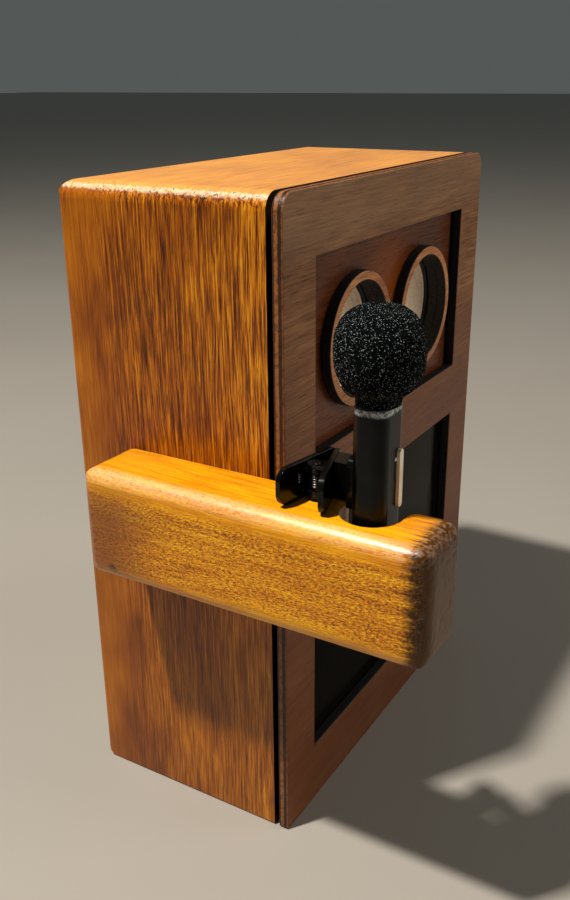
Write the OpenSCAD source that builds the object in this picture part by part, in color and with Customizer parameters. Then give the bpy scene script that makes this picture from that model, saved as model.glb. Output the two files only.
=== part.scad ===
// Tabletop telephone box: a wooden cabinet with two ringed sound ports, and a side
// arm whose notch holds a clip-on microphone.
// Origin: centre of the cabinet's underside. +X right, +Y to the rear, +Z up. Millimetres.

/* [Cabinet] */
// Width of the cabinet
cab_w = 170; // [160:1:220]
// Depth of the cabinet, from its front edge to its rear edge
cab_d = 84; // [76:1:120]
// Height of the cabinet
cab_h = 240; // [215:1:300]
// Thickness of the sides, the top and the bottom
wall_t = 8; // [7:0.5:11]
// Radius of the upper long edges, and of the edges along the top and bottom rear
edge_r = 6; // [3:0.5:7]
// Radius of the lower edges of the sides and of the front, which stand on the table
foot_r = 1; // [0.5:0.5:3]
// Radius of the cabinet's upright rear edges
rear_r = 2; // [1:0.5:7]
// Width and depth of the inner battens
batten_w = 10; // [8:0.5:12]

/* [Front] */
// Thickness of the front plywood: frame, baffle and port rings
ply_t = 4; // [3:0.5:5]
// Shadow gap between the cabinet and the front frame
shadow_gap = 2; // [1:0.5:3.5]
// Width of the front frame's upright stiles
stile_w = 21; // [15:1:28]
// Height of the front frame's top rail
top_rail_h = 22; // [15:1:30]
// Height of the front frame's middle rail
mid_rail_h = 23.5; // [15:0.5:30]
// Height of the upper window
upper_win_h = 69; // [56:1:80]

/* [Sound ports] */
// Distance between the two ports
port_pitch = 58; // [57:1:64]
// Inner radius of the port rings
port_r = 21.3; // [16:0.1:22]
// Width of the port rings' face
ring_w = 3.6; // [2:0.1:4.5]
// Radius of the loudspeaker's flange
flange_r = 27.5; // [26:0.5:28]
// Depth of the loudspeaker behind the baffle
speaker_d = 26; // [22:1:32]
// Free travel of the cone each way
cone_travel = 1; // [0.5:0.1:1.5]

/* [Arm] */
// Thickness of the arm, out from the cabinet's side
arm_t = 25; // [22:0.5:32]
// Height of the arm
arm_h = 40.5; // [28:0.5:55]
// Length of the arm
arm_l = 129.5; // [112:0.5:140]
// Reach of the arm in front of the cabinet's front edge
arm_reach = 68; // [64:1:74]
// Height of the arm's underside above the table
arm_z = 106.5; // [80:0.5:130]
// Radius of the arm's edges
arm_r = 5; // [2:0.5:7]
// Radius of the microphone notch
notch_r = 10; // [9.5:0.1:11]
// Rounding at the notch's mouth
mouth_r = 3.5; // [1:0.5:4]

/* [Microphone] */
// Width of the microphone body, across the front
mic_w = 15.5; // [13:0.1:16]
// Depth of the microphone body
mic_d = 11.5; // [10:0.1:12]
// Height of the microphone body
mic_h = 60; // [54:1:75]
// Part of the body that stands above the arm
mic_proud = 35; // [30:1:40]
// Radius of the body's upright edges
mic_r = 4.2; // [2:0.1:5]
// Radius of the foam windscreen
foam_r = 13.8; // [12:0.1:16]
// Travel of the record key
key_travel = 0.6; // [0.3:0.1:0.8]

/* [Clip] */
// Height of the clip's levers
clip_h = 12.7; // [11:0.1:16]
// Length of each lever
lever_l = 27.5; // [26:0.5:30]
// Thickness of each lever
lever_t = 1.8; // [1.4:0.1:2]
// Opening angle of the clip at full squeeze
squeeze = 20; // [10:1:22]

/* [Rear and power] */
// Depth of the rear panel below the cabinet's rear edge
back_inset = 2; // [2:0.5:4]
// Thickness of the rear panel
back_t = 4; // [3:0.5:6]
// Tilt of the power rocker, each way
rocker_tilt = 9; // [6:1:12]

/* [Hidden] */
$fn = 64;

// Clearances
seat = 0.3;          // between separate pieces that only rest near each other
slip = 0.05;         // radial, round a pin or a screw
over = 1;            // how far a cutter runs past the face it cuts

// Colours
amber = [0.62, 0.33, 0.10];
walnut = [0.42, 0.25, 0.15];
plywood = [0.55, 0.38, 0.24];
black = [0.06, 0.06, 0.07];
steel = [0.72, 0.72, 0.74];
paper = [0.80, 0.74, 0.62];
board_green = [0.10, 0.35, 0.20];

// Cabinet
half_w = cab_w / 2;
front_y = -cab_d / 2;
rear_y = cab_d / 2;
in_x = half_w - wall_t;              // inner face of a side panel
in_z0 = wall_t;
in_z1 = cab_h - wall_t;

// Front
inner_y0 = front_y - shadow_gap;     // front of the baffle and the dark window
inner_y1 = inner_y0 + ply_t;         // rear of both
frame_y = inner_y0 - ply_t;          // front of the frame and the port rings
win_x = half_w - stile_w;
upper_z1 = cab_h - top_rail_h;
upper_z0 = upper_z1 - upper_win_h;
lower_z1 = upper_z0 - mid_rail_h;
lower_z0 = 26;                       // height of the bottom rail
split_z = (upper_z0 + lower_z1) / 2; // where the baffle meets the dark window
port_x = port_pitch / 2;
port_z = (upper_z0 + upper_z1) / 2 - 1;
ring_r = port_r + ring_w;

// Loudspeaker, measured along +Y from the baffle's rear face
flange_t = 1.2;
surround_r1 = flange_r - 5;          // outer radius of the surround
cone_r = surround_r1 - 2.4;           // radius of the cone's rim
coil_r = 7;
cone_t = 0.8;
cone_rim = cone_travel + 0.6;          // so the cone stays behind the baffle
cone_d = 8;
magnet_r = 16;
magnet_d = 9;
basket_r = 13;
speaker_screw_r = 1;
speaker_screw_at = flange_r - 2;

// Rear
back_y1 = rear_y - back_inset;
back_y0 = back_y1 - back_t;
back_screw_r = 1.4;
back_screw_z = [20, cab_h / 2, cab_h - 20];
rear_batten_y0 = back_y0 - batten_w;

// Power rocker and charging socket, on the rear panel
power_z = 44;
rocker_x = 30;
rocker_r = 7.4;
rocker_w = 10;
rocker_y = back_y1 + 1.6 - rocker_r;  // pivot of the rocker
rocker_pin_r = 1;
housing_w = 13.6;
housing_h = 18.6;
socket_x = -30;
socket_r = 4;

// Battery holder, on the bottom panel
cell_r = 9;
cell_l = 65;
holder_w = cell_l + 8;
holder_d = 4 * cell_r + 5;
holder_h = 19;
holder_t = 2;

// Amplifier board, on the right side panel
board_w = 42;
board_h = 60;
board_t = 1.6;
board_y = -2;
board_z = 92;
standoff_l = 5;
board_x1 = in_x - standoff_l;
board_x0 = board_x1 - board_t;
board_hole = 17.5;                   // holes from the board's centre, along Y
board_hole_z = 26;                   // and along Z
block_z = board_z + 18;              // terminal block, on the board
block_h = 8;

// Leads
lead_r = 0.9;
lead_bend = 4;

// Arm
arm_x1 = -half_w;
arm_x0 = arm_x1 - arm_t;
arm_y0 = front_y - arm_reach;
arm_y1 = arm_y0 + arm_l;
arm_top = arm_z + arm_h;
notch_x = arm_x1 - 6.6;
notch_y = arm_y0 + 26.8;
arm_screw_y = [front_y + 18, arm_y1 - 14];
arm_screw_r = 2;

// Microphone
mic_x = notch_x + 0.6;
mic_y = notch_y - 0.8;
mic_top = arm_top + mic_proud;
mic_z = mic_top - mic_h;
mic_wall = 1.2;
mic_y0 = mic_y - mic_d / 2;
mic_y1 = mic_y + mic_d / 2;
key_x = mic_x + 3.3;
key_w = 2.6;
key_proud = 1;
key_h = 19;
key_z = arm_top + 11.5;
light_x = key_x - key_w / 2 - 1.1;   // status light, beside the key's upper half
light_z = key_z + 6.7;
light_r = 0.6;
cap_z = mic_z + 2;                   // top of the base cap, where the board stands
board_y0 = mic_y - 1.4;
board_y1 = board_y0 + 1.2;
capsule_r = 5;
capsule_h = 11;
foam_half_h = foam_r + 0.5;          // the ball is a little taller than it is wide
foam_z = mic_top + foam_half_h + 1.7; // centre of the foam ball
foam_round = 0.8;                    // under 1 squares the ball's shoulders
foam_collar_r = 7;

// Clip: two levers in a V that nearly meet at the jaws, pinned between
clip_z = arm_top + seat;             // underside of the clip, on the arm
pin_x = notch_x + 0.1;
pin_y = notch_y + 19.5;
lever_off = 4.2;                     // from the pin's axis to a lever's mid plane
tab_spare = 7;                       // angle left between the tabs at full squeeze
front_angle = 16.5;                  // lever directions about the pin
rear_angle = front_angle - squeeze - tab_spare;
tab_l = lever_l / 2 + 0.2;
ear_r = 3;
ear_t = 1.2;
ear_gap = 0.15;
ear_z = clip_z + 0.7;                // underside of the lowest ear
ear_top = clip_z + clip_h - 0.7;
clip_pin_r = 1.2;
wire_r = 0.42;
coil_turns = 6;
boss_x0 = mic_x + 2;
boss_x1 = mic_x + 10.5;
pad_t = 3.2;
pad_h = 16.4;

// ---------------------------------------------------------------- helpers

// One corner cutter of a rounded outline; s points into the shape.
module corner_cut(p, s, r) {
    if (r > 0) translate(p) scale([s.x, s.y]) difference() {
        translate([-over, -over]) square(r + over);
        translate([r, r]) circle(r);
    }
}

// Rectangle from lo to hi, with radii at lower left, lower right, upper right, upper left.
module outline(lo, hi, r) {
    difference() {
        translate(lo) square(hi - lo);
        corner_cut(lo, [1, 1], r[0]);
        corner_cut([hi.x, lo.y], [-1, 1], r[1]);
        corner_cut(hi, [-1, -1], r[2]);
        corner_cut([lo.x, hi.y], [1, -1], r[3]);
    }
}

module box(lo, hi) { translate(lo) cube(hi - lo); }

// Extrudes an outline drawn in X and Z along Y, from y0 to y1.
module along_y(y0, y1) {
    translate([0, y1, 0]) rotate([90, 0, 0]) linear_extrude(y1 - y0) children();
}

// Extrudes an outline drawn in Y and Z along X, from x0 to x1.
module along_x(x0, x1) {
    translate([x0, 0, 0]) rotate([90, 0, 90]) linear_extrude(x1 - x0) children();
}

module along_z(z0, z1) { translate([0, 0, z0]) linear_extrude(z1 - z0) children(); }

// Round bar along Y with its axis at x, z.
module rod_y(x, z, y0, y1, r) {
    translate([x, y1, z]) rotate([90, 0, 0]) cylinder(h = y1 - y0, r = r);
}

module rod_x(y, z, x0, x1, r) {
    translate([x0, y, z]) rotate([0, 90, 0]) cylinder(h = x1 - x0, r = r);
}

module rod_z(x, y, z0, z1, r) { translate([x, y, z0]) cylinder(h = z1 - z0, r = r); }

// Turns a profile of [radius, distance] points about an axis along +Y.
module turned_y(x, y, z) {
    translate([x, y, z]) rotate([-90, 0, 0]) rotate_extrude() children();
}

// Rounds each inner point of a route into a short curve.
function bend(a, b, c, r) = let (u = (a - b) / norm(a - b), v = (c - b) / norm(c - b))
    [for (t = [0:0.25:1]) (b + u * r) * (1 - t) ^ 2 + 2 * b * t * (1 - t) + (b + v * r) * t ^ 2];
function route(p, r) = [p[0], for (i = [1:len(p) - 2]) each bend(p[i - 1], p[i], p[i + 1], r),
    p[len(p) - 1]];
function heading(p, i) = let (a = p[max(i - 1, 0)], b = p[min(i + 1, len(p) - 1)])
    (b - a) / norm(b - a);
function ring_at(p, i, r, n) = let (d = heading(p, i), q = cross(d, [0.37, 0.61, 0.7]),
    u = q / norm(q), v = cross(d, u))
    [for (k = [0:n - 1]) p[i] + r * (cos(360 * k / n) * u + sin(360 * k / n) * v)];

// Wire of radius r along a route, with each bend rounded.
module wire(points, r, bend_r) {
    n = 8;
    path = route(points, bend_r);
    last = len(path) - 1;
    polyhedron(
        points = [for (i = [0:last]) each ring_at(path, i, r, n)],
        faces = concat(
            [[for (k = [0:n - 1]) k]],
            [for (i = [0:last - 1], k = [0:n - 1])
                [i * n + k, (i + 1) * n + k, (i + 1) * n + (k + 1) % n, i * n + (k + 1) % n]],
            [[for (k = [n - 1:-1:0]) last * n + k]]
        )
    );
}

// ---------------------------------------------------------------- cabinet

// Outer form of the cabinet: rounded upper and rear edges, square front edge.
module cabinet_form() {
    intersection() {
        along_y(front_y, rear_y)
            outline([-half_w, 0], [half_w, cab_h], [foot_r, foot_r, edge_r, edge_r]);
        along_x(-half_w, half_w) outline([front_y, 0], [rear_y, cab_h], [0, edge_r, edge_r, 0]);
        along_z(0, cab_h) outline([-half_w, front_y], [half_w, rear_y], [0, 0, rear_r, rear_r]);
    }
}

module arm_screw_holes(r) {
    for (y = arm_screw_y) rod_x(y, arm_z + arm_h / 2, -half_w - over, -in_x + over, r);
}

module side_panel_left() {
    color(amber) difference() {
        intersection() {
            cabinet_form();
            box([-half_w, front_y, 0], [-in_x, rear_y, cab_h]);
        }
        arm_screw_holes(arm_screw_r + slip);
    }
}

module side_panel_right() {
    color(amber) difference() {
        intersection() {
            cabinet_form();
            box([in_x, front_y, 0], [half_w, rear_y, cab_h]);
        }
        at_board_holes() rod_x(0, 0, in_x - over, in_x + 4, 1 + slip);
    }
}

module top_panel() {
    color(amber) intersection() {
        cabinet_form();
        box([-in_x, front_y, in_z1], [in_x, rear_y, cab_h]);
    }
}

module bottom_panel() {
    color(amber) difference() {
        intersection() {
            cabinet_form();
            box([-in_x, front_y, 0], [in_x, rear_y, in_z0]);
        }
        for (x = holder_screw_x()) rod_z(x, 0, in_z0 - 5, in_z0 + over, 1.2 + slip);
    }
}

module batten(x0, y0) {
    box([x0, y0, in_z0], [x0 + batten_w, y0 + batten_w, in_z1]);
}

module front_batten_left() { color(plywood) batten(-in_x, inner_y1); }
module front_batten_right() { color(plywood) batten(in_x - batten_w, inner_y1); }

module back_screw_spots(side) {
    for (z = back_screw_z) translate([side * (in_x - batten_w / 2), 0, z]) children();
}

module rear_batten(side) {
    difference() {
        batten(side < 0 ? -in_x : in_x - batten_w, rear_batten_y0);
        back_screw_spots(side) rod_y(0, 0, back_y0 - 8, back_y0 + over, back_screw_r + slip);
    }
}

module rear_batten_left() { color(plywood) rear_batten(-1); }
module rear_batten_right() { color(plywood) rear_batten(1); }

// ---------------------------------------------------------------- front

module front_frame() {
    r = [foot_r, foot_r, edge_r, edge_r];
    color(walnut) along_y(frame_y, inner_y0) difference() {
        outline([-half_w, 0], [half_w, cab_h], r);
        translate([-win_x, lower_z0]) square([2 * win_x, lower_z1 - lower_z0]);
        translate([-win_x, upper_z0]) square([2 * win_x, upper_z1 - upper_z0]);
    }
}

module speaker_baffle() {
    color(walnut) difference() {
        box([-in_x + seat, inner_y0, split_z + seat / 2], [in_x - seat, inner_y1, in_z1 - seat]);
        for (side = [-1, 1]) {
            rod_y(side * port_x, port_z, inner_y0 - over, inner_y1 + over, port_r);
            at_speaker_screws(side * port_x)
                rod_y(0, 0, inner_y1 - 3, inner_y1 + over, speaker_screw_r + slip);
        }
    }
}

module dark_window() {
    color(black)
        box([-in_x + seat, inner_y0, in_z0 + seat], [in_x - seat, inner_y1, split_z - seat / 2]);
}

module port_ring(x) {
    color(walnut) difference() {
        rod_y(x, port_z, frame_y, inner_y0, ring_r);
        rod_y(x, port_z, frame_y - over, inner_y0 + over, port_r);
    }
}

module port_ring_left() { port_ring(-port_x); }
module port_ring_right() { port_ring(port_x); }

// ---------------------------------------------------------------- loudspeakers

module at_speaker_screws(x) {
    for (a = [45:90:315])
        translate([x + speaker_screw_at * cos(a), 0, port_z + speaker_screw_at * sin(a)])
            children();
}

module speaker_basket(x) {
    cup_y = speaker_d - magnet_d;
    color(steel) {
        difference() {
            turned_y(x, inner_y1, port_z) polygon([
                [surround_r1, 0], [flange_r, 0], [flange_r, flange_t], [surround_r1 + 0.8, flange_t],
                [surround_r1 + 0.8, 4], [basket_r, cup_y], [coil_r + 2, cup_y],
                [coil_r + 2, cup_y - 1], [basket_r - 0.6, cup_y - 1], [surround_r1, 3.6]
            ]);
            at_speaker_screws(x)
                rod_y(0, 0, inner_y1 - over, inner_y1 + flange_t + over, speaker_screw_r + slip);
            for (a = [0:60:300]) translate([x, 0, port_z]) rotate([0, a, 0])
                box([-4, inner_y1 + 6, 0], [4, inner_y1 + cup_y - 3, flange_r]);
        }
    }
}

module speaker_basket_left() { speaker_basket(-port_x); }
module speaker_basket_right() { speaker_basket(port_x); }

module speaker_magnet(x) {
    y0 = speaker_d - magnet_d;
    gap_r = coil_r + 0.6;
    color(black) turned_y(x, inner_y1 + y0, port_z) polygon([
        [gap_r, 0], [magnet_r, 0], [magnet_r, magnet_d], [0, magnet_d],
        [0, 1.5], [coil_r - 1.2, 1.5], [coil_r - 1.2, magnet_d - 2], [gap_r, magnet_d - 2]
    ]);
}

module speaker_magnet_left() { speaker_magnet(-port_x); }
module speaker_magnet_right() { speaker_magnet(port_x); }

// Half-roll surround, glued under the flange; its inner lip lies just clear of the cone's rim.
module speaker_surround(x) {
    mid = (cone_r + seat + surround_r1) / 2;
    roll = (surround_r1 - cone_r - seat) / 2;
    color(black) turned_y(x, inner_y1, port_z) difference() {
        translate([mid, roll + 0.4]) circle(roll);
        translate([mid, roll + 0.4]) circle(roll - 0.5);
        translate([mid - 2 * roll, roll + 0.4]) square(4 * roll);
    }
}

module speaker_surround_left() { speaker_surround(-port_x); }
module speaker_surround_right() { speaker_surround(port_x); }

// Paper cone, dust cap and voice coil former.
module speaker_cone(x) {
    former_end = speaker_d - magnet_d + 5;
    color(paper) turned_y(x, inner_y1, port_z) polygon([
        [cone_r, cone_rim], [cone_r, cone_rim + cone_t], [coil_r, cone_rim + cone_d],
        [coil_r, former_end], [coil_r - 0.5, former_end], [coil_r - 0.5, cone_rim + cone_d - 1],
        [0, cone_rim + cone_d - 3], [0, cone_rim + cone_d - 4],
        [coil_r - 3, cone_rim + cone_d - 3.4], [coil_r, cone_rim + cone_d - 1.4],
        [cone_r - 1, cone_rim]
    ]);
}

module speaker_cone_left() { speaker_cone(-port_x); }
module speaker_cone_right() { speaker_cone(port_x); }

module pan_screw_y(x, z, head_y, shank, r, head_r, head_h) {
    rod_y(x, z, head_y - shank, head_y, r);
    rod_y(x, z, head_y, head_y + head_h, head_r);
}

module speaker_screws() {
    color(steel) for (side = [-1, 1]) at_speaker_screws(side * port_x)
        pan_screw_y(0, 0, inner_y1 + flange_t, 3.8, speaker_screw_r, 1.7, 1.2);
}

// ---------------------------------------------------------------- rear panel and power

module back_panel() {
    color(plywood) difference() {
        box([-in_x + seat, back_y0, in_z0 + seat], [in_x - seat, back_y1, in_z1 - seat]);
        for (side = [-1, 1]) back_screw_spots(side)
            rod_y(0, 0, back_y0 - over, back_y1 + over, back_screw_r + slip);
        box([rocker_x - housing_w / 2 - slip, back_y0 - over, power_z - housing_h / 2 - slip],
            [rocker_x + housing_w / 2 + slip, back_y1 + over, power_z + housing_h / 2 + slip]);
        rod_y(socket_x, power_z, back_y0 - over, back_y1 + over, socket_r + slip);
    }
}

module back_screws() {
    color(steel) for (side = [-1, 1]) back_screw_spots(side)
        pan_screw_y(0, 0, back_y1, back_t + 7.5, back_screw_r, 2.8, 1.6);
}

module rocker_housing() {
    hollow_y = rocker_y - rocker_r - seat;
    lip = 1.8;
    color(black) difference() {
        union() {
            box([rocker_x - housing_w / 2, hollow_y - 1.5, power_z - housing_h / 2],
                [rocker_x + housing_w / 2, back_y1, power_z + housing_h / 2]);
            box([rocker_x - housing_w / 2 - lip, back_y1, power_z - housing_h / 2 - lip],
                [rocker_x + housing_w / 2 + lip, back_y1 + 1.4, power_z + housing_h / 2 + lip]);
        }
        box([rocker_x - rocker_w / 2 - seat, hollow_y, power_z - rocker_r - seat],
            [rocker_x + rocker_w / 2 + seat, back_y1 + 1.4 + over, power_z + rocker_r + seat]);
        rod_x(rocker_y, power_z, rocker_x - rocker_w / 2 - 1.2, rocker_x + rocker_w / 2 + 1.2,
            rocker_pin_r + slip);
    }
}

// Rocker with a shallow V across its face, modelled in its off position.
module power_rocker() {
    color([0.5, 0.06, 0.05]) translate([rocker_x, rocker_y, power_z])
        rotate([-rocker_tilt, 0, 0]) {
            difference() {
                rotate([0, 90, 0]) cylinder(h = rocker_w, r = rocker_r, center = true);
                for (s = [-1, 1]) rotate([s * rocker_tilt, 0, 0])
                    box([-rocker_w, 4.8, s < 0 ? -2 * rocker_r : 0],
                        [rocker_w, 2 * rocker_r, s < 0 ? 0 : 2 * rocker_r]);
                box([-rocker_w, -2 * rocker_r, -2 * rocker_r], [rocker_w, -3, 2 * rocker_r]);
            }
            rotate([0, 90, 0]) cylinder(h = rocker_w + 2, r = rocker_pin_r, center = true);
        }
}

module charge_socket() {
    bore_y = back_y1 - 10;
    color(black) difference() {
        union() {
            rod_y(socket_x, power_z, back_y1 - 13, back_y1, socket_r);
            rod_y(socket_x, power_z, back_y1, back_y1 + 1.2, socket_r + 2);
        }
        difference() {
            rod_y(socket_x, power_z, bore_y, back_y1 + 1.2 + over, 2.75);
            rod_y(socket_x, power_z, bore_y, back_y1 - 1, 0.95);
        }
    }
}

module socket_nut() {
    color(steel) difference() {
        translate([socket_x, back_y0, power_z]) rotate([90, 0, 0])
            cylinder(h = 2.2, r = 6.4, $fn = 6);
        rod_y(socket_x, power_z, back_y0 - 2.2 - over, back_y0 + over, socket_r + slip);
    }
}

function holder_screw_x() = [-holder_w / 2 + 14, holder_w / 2 - 14];

module battery_holder() {
    color(black) difference() {
        box([-holder_w / 2, -holder_d / 2, in_z0], [holder_w / 2, holder_d / 2, in_z0 + holder_h]);
        box([-holder_w / 2 + holder_t, -holder_d / 2 + holder_t, in_z0 + holder_t],
            [holder_w / 2 - holder_t, holder_d / 2 - holder_t, in_z0 + holder_h + over]);
        for (x = holder_screw_x()) rod_z(x, 0, in_z0 - over, in_z0 + holder_t + over, 1.2 + slip);
    }
}

module battery_cells() {
    color([0.20, 0.30, 0.55]) for (s = [-1, 1]) {
        y = s * (cell_r + 0.25);
        z = in_z0 + holder_t + cell_r;
        rod_x(y, z, -cell_l / 2, cell_l / 2, cell_r);
        rod_x(y, z, s * cell_l / 2 - (s < 0 ? 2 : 0), s * cell_l / 2 + (s < 0 ? 0 : 2), 2.6);
    }
}

module holder_screws() {
    color(steel) for (x = holder_screw_x()) {
        rod_z(x, 0, in_z0 - 4.6, in_z0 + holder_t, 1.2);
        rod_z(x, 0, in_z0 + holder_t, in_z0 + holder_t + 0.9, 2.2);
    }
}

// Repeats its child at the board's four holes, on the Y and Z axes only.
module at_board_holes() {
    for (sy = [-1, 1], sz = [-1, 1])
        translate([0, board_y + sy * board_hole, board_z + sz * board_hole_z]) children();
}

module amplifier_board() {
    chip = 14;
    color(board_green) {
        difference() {
            box([board_x0, board_y - board_w / 2, board_z - board_h / 2],
                [board_x1, board_y + board_w / 2, board_z + board_h / 2]);
            at_board_holes() rod_x(0, 0, board_x0 - over, board_x1 + over, 1 + slip);
        }
        box([board_x0 - 2, board_y - chip / 2, board_z - chip / 2],
            [board_x0, board_y + chip / 2, board_z + chip / 2]);
        rod_x(board_y + 12, board_z + 4, board_x0 - 11, board_x0, 4);
        rod_x(board_y - 14, board_z + 4, board_x0 - 8, board_x0, 3);
    }
}

module board_standoffs() {
    color(steel) at_board_holes() difference() {
        rod_x(0, 0, board_x1, in_x, 2.2);
        rod_x(0, 0, board_x1 - over, in_x + over, 1 + slip);
    }
}

module board_screws() {
    color(steel) at_board_holes() {
        rod_x(0, 0, board_x0, in_x + 3.6, 1);
        rod_x(0, 0, board_x0 - 1.2, board_x0, 1.9);
    }
}

module terminal_block() {
    color([0.10, 0.30, 0.60])
        box([board_x0 - 8, board_y - 12, block_z], [board_x0, board_y + 12, block_z + block_h]);
}

module receiver_module() {
    color(black) box([board_x0 - 5, board_y - 9, board_z - 26], [board_x0, board_y + 9, board_z - 12]);
}

// Lead from the rear of a magnet, down and across to its slot in the terminal block.
module speaker_lead(x, slot_y, out, drop) {
    plug = [board_x0 - 4, board_y + slot_y, block_z + block_h];
    tag = [x, inner_y1 + speaker_d, port_z - 11];
    run_z = plug.z + drop;
    color([0.55, 0.08, 0.06]) wire([
        tag, tag + [0, out, 0], [x, tag.y + out, run_z], [plug.x, tag.y + out, run_z],
        [plug.x, plug.y, run_z], plug
    ], lead_r, lead_bend / 2);
}

module speaker_lead_left() { speaker_lead(-port_x, 8, 14, 16); }
module speaker_lead_right() { speaker_lead(port_x, -8, 8, 8); }

module battery_lead() {
    start = [rocker_x, rocker_y - rocker_r - seat - 1.5, power_z - 4];
    end = [holder_w / 2 - 10, -holder_d / 2, in_z0 + 12];
    color(black) wire([
        start, start - [0, 4, 0], [rocker_x, start.y - 4, in_z0 + holder_h + 8],
        [end.x, start.y - 4, in_z0 + holder_h + 8], [end.x, end.y - 5, in_z0 + holder_h + 8],
        [end.x, end.y - 5, end.z], end
    ], lead_r, 1.8);
}

module power_lead() {
    start = [socket_x, back_y1 - 13, power_z];
    end = [board_x0 - 2.5, board_y, board_z - 26];
    color(black) wire([
        start, start - [0, 14, 0], [socket_x, start.y - 14, power_z + 8],
        [end.x, start.y - 14, power_z + 8], [end.x, board_y, power_z + 8], end
    ], lead_r, lead_bend - 1);
}

// ---------------------------------------------------------------- arm

module arm() {
    r = arm_r;
    color(amber) difference() {
        intersection() {
            along_y(arm_y0, arm_y1) outline([arm_x0, arm_z], [arm_x1, arm_top], [r, 0, 0, r]);
            along_x(arm_x0, arm_x1) outline([arm_y0, arm_z], [arm_y1, arm_top], [r, r, r, r]);
            along_z(arm_z, arm_top) notched_plan();
        }
        for (y = arm_screw_y)
            rod_x(y, arm_z + arm_h / 2, arm_x1 - 18, arm_x1 + over, arm_screw_r + slip);
    }
}

// The arm seen from above: rounded ends, and the notch with its rounded mouth.
module notched_plan() {
    difference() {
        outline([arm_x0, arm_y0], [arm_x1, arm_y1], [arm_r + 1.5, arm_r - 2, 0, arm_r]);
        translate([notch_x, notch_y]) circle(notch_r);
        translate([notch_x, notch_y - notch_r]) square([arm_x1 - notch_x + over, 2 * notch_r]);
        for (s = [-1, 1]) corner_cut([arm_x1, notch_y + s * notch_r], [-1, s], mouth_r);
    }
}

module arm_screws() {
    color(steel) for (y = arm_screw_y) {
        rod_x(y, arm_z + arm_h / 2, arm_x1 - 17, -in_x, arm_screw_r);
        rod_x(y, arm_z + arm_h / 2, -in_x, -in_x + 2, 3.8);
    }
}

// ---------------------------------------------------------------- microphone

// Plan of the microphone body, drawn in by an even amount all round.
module mic_plan(inset) {
    w = mic_w / 2 - inset;
    d = mic_d / 2 - inset;
    r = max(mic_r - inset, 0.5);
    translate([mic_x, mic_y]) outline([-w, -d], [w, d], [r, r, r, r]);
}

module mic_body() {
    color(black) difference() {
        along_z(mic_z, mic_top) mic_plan(0);
        along_z(mic_z - over, mic_top - mic_wall) mic_plan(mic_wall);
        rod_z(mic_x, mic_y, mic_top - mic_wall - over, mic_top + over, 3 + slip);
        key_window(seat / 2);
        rod_y(light_x, light_z, mic_y0 - over, mic_y0 + mic_wall + over, light_r + slip);
    }
}

module key_plan(grow) {
    w = key_w / 2 + grow;
    outline([key_x - w, key_z - key_h / 2 - grow], [key_x + w, key_z + key_h / 2 + grow], [w, w, w, w]);
}

module key_window(grow) { along_y(mic_y0 - over, mic_y0 + mic_wall + over) key_plan(grow); }

module mic_base_cap() {
    color(black) along_z(mic_z, cap_z) mic_plan(mic_wall);
}

module mic_battery() {
    w = mic_w / 2 - mic_wall - 1.75;
    color(steel)
        box([mic_x - w, board_y1, cap_z], [mic_x + w, mic_y1 - mic_wall - 1, cap_z + mic_h / 2]);
}

module mic_board() {
    w = mic_w / 2 - mic_wall - 0.5;
    color(board_green)
        box([mic_x - w, board_y0, cap_z], [mic_x + w, board_y1, mic_top - mic_wall]);
}

module mic_capsule() {
    color(steel) {
        rod_z(mic_x, mic_y, mic_top - mic_wall, mic_top, 3);
        rod_z(mic_x, mic_y, mic_top, mic_top + capsule_h - 2, capsule_r);
        rod_z(mic_x, mic_y, mic_top + capsule_h - 2, mic_top + capsule_h, capsule_r - 1);
    }
}

module record_key() {
    color(paper) {
        along_y(mic_y0 - key_proud, mic_y0 + 1) key_plan(0);
        rod_y(key_x, key_z, mic_y0 + 1, board_y0 - key_travel - 0.1, 1.2);
    }
}

module status_light() {
    color([0.85, 0.95, 1]) rod_y(light_x, light_z, mic_y0 - 0.3, board_y0, light_r);
}

// Half of the ball's section, from its lowest point to its highest.
function foam_section() = [for (a = [-90:5:90])
    [foam_r * cos(a) ^ foam_round, foam_half_h * sign(a) * abs(sin(a)) ^ foam_round]];

// Ball of foam with full shoulders and a collar, hollow where the capsule goes in.
module foam_windscreen() {
    color(black) difference() {
        union() {
            translate([mic_x, mic_y, foam_z]) rotate_extrude() polygon(foam_section());
            rod_z(mic_x, mic_y, mic_top + seat, foam_z, foam_collar_r);
        }
        rod_z(mic_x, mic_y, mic_top - over, mic_top + capsule_h + seat, capsule_r + seat);
    }
}

// ---------------------------------------------------------------- clip

// Places a lever drawn along X, with the pin's axis at its origin.
module at_pin(angle) { translate([pin_x, pin_y, 0]) rotate([0, 0, angle]) children(); }

// Flat lever on one side of the pin (side -1 front, 1 rear): tab to -X, jaw to +X.
module lever_plate(side) {
    y0 = side * lever_off - lever_t / 2;
    tab_r = 4.5;
    along_y(y0, y0 + lever_t) outline([-tab_l, clip_z], [lever_l - tab_l, clip_z + clip_h],
        [tab_r, 1.5, 1.5, tab_r]);
}

// Pair of ears that carry the pin, the lower one's underside z0, the upper one's top z1.
module ears(side, z0, z1) {
    for (z = [z0, z1 - ear_t]) along_z(z, z + ear_t) difference() {
        union() {
            circle(ear_r);
            translate([-ear_r, side < 0 ? -lever_off : 0]) square([2 * ear_r, lever_off]);
        }
        circle(clip_pin_r + slip);
    }
}

// Mid plane of the front lever at a given x.
function front_lever_y(x) = pin_y + (x - pin_x) * tan(front_angle) - lever_off / cos(front_angle);

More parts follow.
